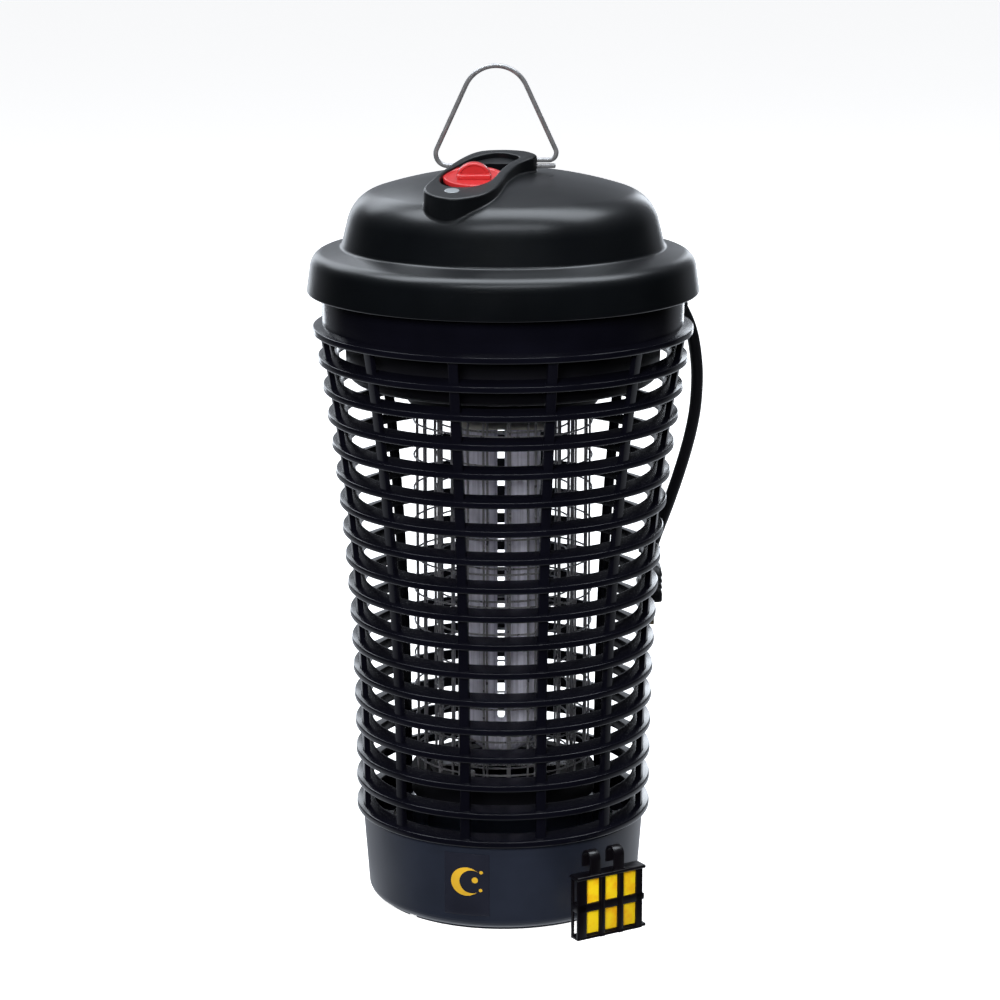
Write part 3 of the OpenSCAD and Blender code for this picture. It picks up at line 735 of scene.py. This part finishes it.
def make_bail():
    """Bent wire: pivot, left leg, round top, right leg and a short return into the housing."""
    lean = math.radians(BAIL_LEAN)
    out_l = Vector((-math.cos(lean), math.sin(lean)))
    out_r = Vector((math.cos(lean), math.sin(lean)))
    up_l = Vector((math.sin(lean), math.cos(lean)))
    up_r = Vector((-math.sin(lean), math.cos(lean)))
    left = Vector((-33, BAIL_LEFT_R))
    top = left + (BAIL_LEFT_R - BAIL_TOP_R) * out_l + BAIL_LEFT_LEG * up_l
    right = top + (BAIL_TOP_R - BAIL_RIGHT_R) * out_r - BAIL_RIGHT_LEG * up_r
    flat = [(31.5, 0), (20, 0), (0, 0), (-20, 0)]
    flat += arc(left, BAIL_LEFT_R, 270, 180 - BAIL_LEAN, 14)
    flat += arc(top, BAIL_TOP_R, 180 - BAIL_LEAN, BAIL_LEAN, 28)
    flat += arc(right, BAIL_RIGHT_R, BAIL_LEAN, -90, 12)
    flat += [(13, right.y - BAIL_RIGHT_R)]
    line = [Vector((x, BAIL_Y, BAIL_Z + z)) for x, z in flat]
    tip = (line[0] - line[1]).normalized()
    ends = [line[0] + tip * -BAIL_TIP + tip * BAIL_TIP * math.sin(math.radians(a)) for a in (90, 60, 30)]
    line = ends + [line[0] - tip * BAIL_TIP] + line[1:]
    radii = [WIRE_R * 0.35, WIRE_R * 0.72, WIRE_R * 0.93] + [WIRE_R] * (len(line) - 3)
    build = Build()
    build.tube(line, radii, 24)
    build.piece("bail_wire", "bail", "bail", ["bail"])


CUP_TOP_R, CUP_FOOT_R, CUP_HIGH, CUP_FOOT_HIGH = 87.4, 83.9, 54.5, 1.5
PLATE_LEFT, PLATE_RIGHT, PLATE_LOW, PLATE_HIGH = -35.2, -8.2, 10.5, 50.5


def cup_r(z):
    """The cup's outer radius at a height."""
    return CUP_FOOT_R + (CUP_TOP_R - CUP_FOOT_R) * (z - CUP_FOOT_HIGH - 6) / (CUP_HIGH - CUP_FOOT_HIGH - 7)


def on_cup(x, z, proud):
    """Point on the cup's front wall at x and z, standing proud of it."""
    r = cup_r(z) + proud
    return Vector((x, -math.sqrt(r * r - x * x), z))


def make_plate():
    """Thin glossy plate that follows the cup, with a plain moon-and-dots emblem inked on it."""
    build = Build()
    section = rounded([(PLATE_LOW, 0.05, 0), (PLATE_LOW, 0.6, 0.25),
                       (PLATE_HIGH, 0.6, 0.25), (PLATE_HIGH, 0.05, 0)])
    tall = [(PLATE_LOW + (PLATE_HIGH - PLATE_LOW) * i / 10, 0.6) for i in range(1, 10)]
    section = [p for p in section if p[0] < 30] + tall + [p for p in section if p[0] > 30]
    steps = 40
    rows = []
    for i in range(steps + 1):
        x = PLATE_LEFT + (PLATE_RIGHT - PLATE_LEFT) * i / steps
        edge = 0.2 if i in (0, steps) else 0
        rows.append([on_cup(x, z, max(proud - edge, 0.02)) for z, proud in section])
    made = build.rows(rows)
    build.lid(made[0], True)
    build.lid(made[-1])
    build.piece("front_plate", "plate", "zapper", ["label_plate"])
    emblem = Build()
    middle = ((PLATE_LEFT + PLATE_RIGHT) / 2 - 0.5, 32.5)
    low, high = 0.58, 0.72
    rows = []
    for i in range(49):
        t = math.radians(50 + 260 * i / 48)
        outer = Vector((9.2 * math.cos(t), 9.2 * math.sin(t)))
        inner = Vector((3.4, 0)) + 7.5 * Vector((math.cos(t), math.sin(t)))
        if (outer - inner).dot(outer) < 0.3:
            inner = outer * 0.985
        ring = [(outer, low), (outer, high), (inner, high), (inner, low)]
        rows.append([on_cup(middle[0] + p.x, middle[1] + p.y, proud) for p, proud in ring])
    made = emblem.rows(rows)
    emblem.lid(made[0], True)
    emblem.lid(made[-1])
    for dx, dz, radius in ((5.2, 1.2, 1.9), (9.0, 6.4, 1.1), (8.6, -5.2, 1.1)):
        rows = []
        for proud, share in ((low, 1.0), (high, 1.0), (high, 0.5)):
            rows.append([on_cup(middle[0] + dx + share * radius * math.cos(t), middle[1] + dz
                                + share * radius * math.sin(t), proud)
                         for t in (2 * math.pi * k / 20 for k in range(20))])
        made = emblem.rows(rows)
        emblem.lid(made[0], True)
        emblem.lid(made[-1])
    emblem.piece("plate_emblem", "emblem", "zapper", smooth=60)


RELIEF_RUN = Vector((17, 8.4, -16.6))


def make_relief():
    """Moulded strain relief: a root in the collar, a flange and a ribbed taper."""
    along = RELIEF_RUN.normalized()
    turn = along.to_track_quat("Z", "Y").to_matrix().to_4x4()
    place = Matrix.Translation(Vector(CORD[0]) - RELIEF_RUN) @ turn
    tip = RELIEF_RUN.length
    profile = [(0, -5), (5.4, -5), (5.4, 7.2), (6.6, 7.2), (7, 7.6), (7, 9.2), (6.6, 9.6), (6, 9.6)]
    ribs = 5
    for i in range(ribs):
        z = 10.4 + (tip - 11.6) * i / ribs
        r = 6 - (z - 9.6) / (tip - 9.6)
        profile += [(r, z), (r - 0.1, z + 0.2), (r - 0.9, z + 0.5), (r - 0.95, z + 1.2), (r - 0.2, z + 1.5)]
    profile += [(5.05, tip - 1.2), (5, tip - 0.4), (4.6, tip), (0, tip)]
    build = Build()
    build.solid(profile, 48, place)
    build.piece("relief_boot", "jacket", "zapper", ["strain_relief"])


def make_plug():
    """Moulded plug on the lead's end, with finger grooves, and two flat blades."""
    place = Matrix.Translation((93.5, 72, 0))
    build = Build()
    build.solid(rounded([(0, 188, 0), (5.5, 188, 0), (5.5, 199, 0), (7, 199, 0.4), (7, 202.5, 0.8),
                         (0, 202.5, 0)]), 48, place)
    rows = []
    for w, grow in ((168.5, -0.9), (168.8, -0.3), (169.6, 0), (174, 0), (176, -0.8), (178, 0), (180, -0.8),
                    (182, 0), (184, -0.8), (186, 0), (188.5, -0.6), (190.6, -2.0), (191.5, -3.4)):
        a, b = 8 + grow, 13 + grow * (1.0 if w < 186 else 1.6)
        section = rounded([(-a, -b, 2.5), (a, -b, 2.5), (a, b, 2.5), (-a, b, 2.5)], 5)
        rows.append([place @ Vector((x, y, w)) for x, y in section])
    made = build.rows(rows)
    build.lid(made[0], True)
    build.lid(made[-1])
    body = build.piece("plug_moulding", "jacket", "zapper", ["plug_body"])
    blades = Build()
    for s in (-1, 1):
        blades.block((-3.1, s * 6.35 - 0.75, 152.5), (3.2, s * 6.35 + 0.75, 168.5), place, 0.35)
    pair = blades.piece("plug_pins", "brass", "zapper", ["plug_blades"])
    return body, pair


LURE_PLACE = Matrix.Translation((45, -99, 0)) @ Matrix.Rotation(math.radians(31.4), 4, "Z")
LURE_W, LURE_T, LURE_H = 46.3, 8, 40


def ribbon(build, path, low, high, thick, place):
    """A flat strip along a path in the local y-z plane, from x low to x high."""
    rows = []
    for i in range(len(path)):
        a = Vector(path[max(i - 1, 0)])
        b = Vector(path[min(i + 1, len(path) - 1)])
        way = (b - a).normalized()
        side = Vector((way.y, -way.x))
        section = rounded([(low, -thick / 2, 0.4), (high, -thick / 2, 0.4), (high, thick / 2, 0.4),
                           (low, thick / 2, 0.4)], 2)
        rows.append([place @ Vector((x, path[i][0] + side.x * t, path[i][1] + side.y * t))
                     for x, t in section])
    made = build.rows(rows)
    build.lid(made[0], True)
    build.lid(made[-1])


def make_lure():
    """Snap-together lure holder: two windowed faces, slotted ends, a lid and two hooks, round a tablet."""
    build = Build()
    at = LURE_PLACE
    top = LURE_H - 2
    for y in (0, LURE_T - 1.5):
        back = y > 0
        for low, high in ((0, 1.8), (17.4, 22.4), (top - 0.3, top + 0.6)):
            build.block((0, y, low), (LURE_W, y + 1.5, high), at, 0.3)
        for low, high in ((0, 1.6 if back else 6.4), (4.6, 6.4), (15.4, 19.6), (28.6, 32.8), (41.8, LURE_W)):
            if back or low != 4.6:
                build.block((low, y, 0), (high, y + 1.5, top), at, 0.35)
    for low, high in ((16.2, 18.8), (29.4, 32.0)):
        build.block((low, -0.7, 0.2), (high, 0.6, top), at, 0.4)
        build.block((low - 0.5, -0.8, 0), (high + 0.5, 1.0, 2.4), at, 0.5)
    for y_low, y_high in ((0, 1.8), (6.2, LURE_T)):
        build.block((0, y_low, 0), (1.5, y_high, top), at, 0.3)
    for low, high in ((0, 1.8), (17.4, 22.4), (top - 1, top)):
        build.block((0, 0.5, low), (1.5, LURE_T - 0.5, high), at, 0.3)
    build.block((LURE_W - 1.5, 0, 0), (LURE_W, LURE_T, top), at, 0.35)
    build.block((1, 1, 0.3), (LURE_W - 1, LURE_T - 1, 2.5), at, 0.2)
    build.block((-0.8, -0.8, top), (LURE_W + 2, LURE_T + 0.8, LURE_H), at, 0.5, 3)
    build.block((LURE_W - 1, 2, 17), (LURE_W + 3, 6, 21), at, 0.7, 3)
    build.block((LURE_W - 1, 1, 0), (LURE_W + 3.5, 7, 2), at, 0.5, 3)
    build.block((LURE_W - 0.6, 0.9, 0), (LURE_W + 0.8, 7.1, top), at, 0.4)
    for x in (9, 26):
        path = [(0.9, LURE_H - 1), (0.9, LURE_H + 4), (0.9, LURE_H + 8.8)]
        path += [(5.3 - 4.4 * math.cos(math.radians(a)), LURE_H + 9 + 4.4 * math.sin(math.radians(a)))
                 for a in range(0, 181, 12)]
        path += [(9.7, LURE_H + 6), (9.7, LURE_H + 3.2)]
        ribbon(build, path, x, x + 7, 1.8, at)
        build.block((x - 0.4, -0.3, LURE_H - 0.4), (x + 7.4, 2.5, LURE_H + 0.8), at, 0.4)
    build.piece("lure_holder", "lure", "lure", ["lure_frame"])
    block = Build()
    block.block((5.6, 1.7, 2.7), (LURE_W - 1.8, LURE_T - 1.7, LURE_H - 2.5), at, 0.7, 3)
    block.piece("lure_cake", "tablet", "lure", ["lure_tablet"])


make_cord()
make_cage()
make_cap()
make_housing()
make_knob()
make_bail()
make_plate()
make_relief()
make_lure()

# ---------------------------------------------------------------- grids

GRID_WIRES, GRID_LOW, GRID_HIGH = 21, 80, 313
HOOPS, HOOP_LOW, HOOP_PITCH = 11, 90, 21


def make_grid(name, radius, turn, hoop_r, stands_for):
    """Upright wires with a slight hand-set waver, and thinner hoops spot-welded round them."""
    build = Build()
    for i in range(GRID_WIRES):
        a = math.radians(turn - 90 + i * 360 / GRID_WIRES)
        phase, sway = random.uniform(0, 6.3), random.uniform(0.15, 0.4)
        line = []
        for k in range(13):
            z = GRID_LOW + (GRID_HIGH - GRID_LOW) * k / 12
            drift = sway * math.sin(phase + 5.0 * k / 12) * math.sin(math.pi * k / 12)
            line.append((radius * math.cos(a) - drift * math.sin(a),
                         radius * math.sin(a) + drift * math.cos(a), z))
        build.tube(line, 0.7, 8)
    build.piece(name + "_wires", "grid", "zapper", stands_for[:1], smooth=60)
    build = Build()
    for i in range(HOOPS):
        z = HOOP_LOW + HOOP_PITCH * i
        phase, sway = random.uniform(0, 6.3), random.uniform(0.2, 0.6)
        line = []
        for k in range(120):
            a = 2 * math.pi * k / 120
            line.append((hoop_r * math.cos(a), hoop_r * math.sin(a), z + sway * math.sin(2 * a + phase)))
        build.tube(line, 0.6, 8, closed=True)
    build.piece(name + "_hoop_wires", "grid", "zapper", stands_for[1:], smooth=60)


make_grid("outer", 53, 4.4, 54.35, ["outer_grid", "outer_grid_hoops"])
make_grid("inner", 42, 4.0, 40.65, ["inner_grid", "inner_grid_hoops"])

# ---------------------------------------------------------------- stage


def make_stage():
    """A pale floor that glows a little, so that it reads as white paper, and that no reflection shows."""
    floor = bpy.data.meshes.new("floor")
    reach = 30
    floor.from_pydata([(-reach, -reach, 0), (reach, -reach, 0), (reach, reach, 0), (-reach, reach, 0)],
                      [], [(0, 1, 2, 3)])
    made = bpy.data.objects.new("floor", floor)
    bpy.context.scene.collection.objects.link(made)
    s = Shader("floor_paper")
    s.tint(s.noise(0.4, 2), (0.88, 0.88, 0.88), (0.9, 0.9, 0.9))
    s.set(Roughness=0.6, Emission_Color=(1, 1, 1, 1), Emission_Strength=0.82)
    floor.materials.append(s.material)
    made.visible_glossy = False
    made.visible_diffuse = False


def make_world():
    """White all round to the eye; its light comes from behind, above and below, and is dim in front."""
    world = bpy.data.worlds.new("studio")
    bpy.context.scene.world = world
    world.use_nodes = True
    tree = world.node_tree
    out = tree.nodes["World Output"]
    light = tree.nodes["Background"]
    light.inputs["Color"].default_value = (0.86, 0.91, 1.0, 1)
    seen = tree.nodes.new("ShaderNodeBackground")
    seen.inputs["Color"].default_value = (1, 1, 1, 1)
    path = tree.nodes.new("ShaderNodeLightPath")
    mix = tree.nodes.new("ShaderNodeMixShader")
    place = tree.nodes.new("ShaderNodeTexCoord")
    split = tree.nodes.new("ShaderNodeSeparateXYZ")
    join = tree.links.new
    join(place.outputs["Generated"], split.inputs[0])

    def ramp(axis, start, stop, strength):
        """Smooth rise from 0 to strength as a direction's part along an axis goes from start to stop."""
        made = tree.nodes.new("ShaderNodeMapRange")
        made.interpolation_type = "SMOOTHSTEP"
        made.inputs["From Min"].default_value = start
        made.inputs["From Max"].default_value = stop
        made.inputs["To Max"].default_value = strength
        join(split.outputs[axis], made.inputs["Value"])
        return made.outputs["Result"]

    def combine(kind, a, b):
        """Two values through one math node."""
        made = tree.nodes.new("ShaderNodeMath")
        made.operation = kind
        join(a, made.inputs[0])
        join(b, made.inputs[1])
        return made.outputs[0]

    backdrop = ramp("Y", 0.5, 1.0, 0.38)
    sides_of_floor = combine("MULTIPLY", ramp("Y", -0.35, 0.6, 0.9), ramp("Z", -0.18, -0.42, 1.0))
    near_floor = ramp("Z", -0.5, -0.85, 0.55)
    ceiling = ramp("Z", 0.3, 1.0, 0.14)
    total = combine("ADD", combine("ADD", backdrop, sides_of_floor), combine("ADD", near_floor, ceiling))
    join(total, light.inputs["Strength"])
    join(path.outputs["Is Camera Ray"], mix.inputs["Fac"])
    join(light.outputs[0], mix.inputs[1])
    join(seen.outputs[0], mix.inputs[2])
    join(mix.outputs[0], out.inputs["Surface"])


def area_light(name, place, aim, size, power):
    """A rectangular soft box at place, turned to aim."""
    data = bpy.data.lights.new(name, "AREA")
    data.shape = "RECTANGLE"
    data.size, data.size_y = size
    data.energy = power
    data.color = (0.87, 0.93, 1.0)
    made = bpy.data.objects.new(name, data)
    made.location = place
    made.rotation_euler = (Vector(aim) - Vector(place)).to_track_quat("-Z", "Y").to_euler()
    bpy.context.scene.collection.objects.link(made)
    return made


def make_lights():
    """Soft boxes above and behind for the edges, and a fill from the front that makes no highlights."""
    middle = (0, 0, 0.26)
    area_light("overhead", (0, 0.3, 2.1), middle, (3.0, 1.0), 55)
    area_light("front_strip", (0.1, -1.25, 2.2), middle, (1.9, 0.22), 13)
    area_light("left_back", (-1.2, 2.1, 1.9), middle, (1.5, 1.0), 15)
    area_light("left_edge", (-1.1, 3.0, 0.5), middle, (0.6, 1.6), 9)
    area_light("right_edge", (0.9, 3.1, 0.5), middle, (0.4, 1.6), 9)
    fill = area_light("front_fill", (-0.5, -2.6, 1.5), middle, (1.2, 1.2), 105)
    fill.visible_glossy = False
    fill.data.color = (1, 1, 1)


make_stage()
make_world()
make_lights()
bpy.context.scene.view_settings.view_transform = "Standard"
